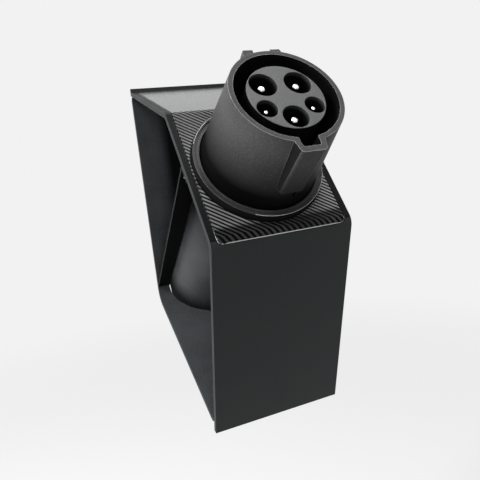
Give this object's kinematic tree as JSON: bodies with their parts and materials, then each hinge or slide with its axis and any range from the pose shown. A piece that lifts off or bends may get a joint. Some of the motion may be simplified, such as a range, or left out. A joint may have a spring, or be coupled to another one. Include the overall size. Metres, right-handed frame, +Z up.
{
  "type": "charging adapter dock",
  "caption": "Wall dock that holds a car charging adapter in a slanted socket on a folded housing open at both sides.",
  "frame": {"origin": "middle of the four wall holes, on the wall plane at the back of the bracket", "axes": "+X to the right seen from the front, +Y back into the wall, +Z up"},
  "size_m": [0.07, 0.1456, 0.178],
  "materials": {
    "cover_paint": "satin",
    "bracket_paint": "satin",
    "panel_film": "gloss, with slanted fine stripes",
    "collar_plastic": "satin",
    "tube_plastic": "matte",
    "barrel_plastic": "fine matte grain",
    "core_plastic": "fine matte grain",
    "seal_rubber": "matte",
    "bare_steel": "plain",
    "bright_contact": "silver plated",
    "contact_brass": "plain"
  },
  "bodies": {
    "root": {"front_cover": "cover_paint", "rear_bracket": "bracket_paint", "brace_left": "bracket_paint", "brace_right": "bracket_paint", "face_panel": "panel_film", "collar_ring": "collar_plastic", "collar_gasket": "seal_rubber", "holder_tube": "tube_plastic", "tube_liner": "seal_rubber", "adapter_shell": "barrel_plastic", "adapter_body": "barrel_plastic", "inlet_core": "core_plastic", "core_base": "core_plastic", "core_seal": "seal_rubber", "core_nut": "tube_plastic", "body_seal": "seal_rubber", "plug_insulator": "core_plastic", "ledge_stud_left": "bare_steel", "ledge_stud_right": "bare_steel", "ledge_nut_left": "bare_steel", "ledge_nut_right": "bare_steel", "front_stud_left": "bare_steel", "front_stud_right": "bare_steel", "front_nut_left": "bare_steel", "front_nut_right": "bare_steel", "slope_stud_left": "bare_steel", "slope_stud_right": "bare_steel", "slope_nut_left": "bare_steel", "slope_nut_right": "bare_steel", "tube_screw_1": "bare_steel", "tube_screw_2": "bare_steel", "tube_screw_3": "bare_steel", "tube_screw_4": "bare_steel", "floor_screw_1": "bare_steel", "floor_screw_2": "bare_steel", "floor_screw_3": "bare_steel", "floor_screw_4": "bare_steel", "line_left_pin": "bright_contact", "line_left_rod": "contact_brass", "line_left_sleeve": "contact_brass", "line_right_pin": "bright_contact", "line_right_rod": "contact_brass", "line_right_sleeve": "contact_brass", "earth_pin": "bright_contact", "earth_rod": "contact_brass", "earth_sleeve": "contact_brass", "pilot_pin": "bright_contact", "pilot_rod": "contact_brass", "pilot_sleeve": "contact_brass", "proximity_pin": "bright_contact", "proximity_rod": "contact_brass", "proximity_sleeve": "contact_brass"}
  },
  "joints": []
}
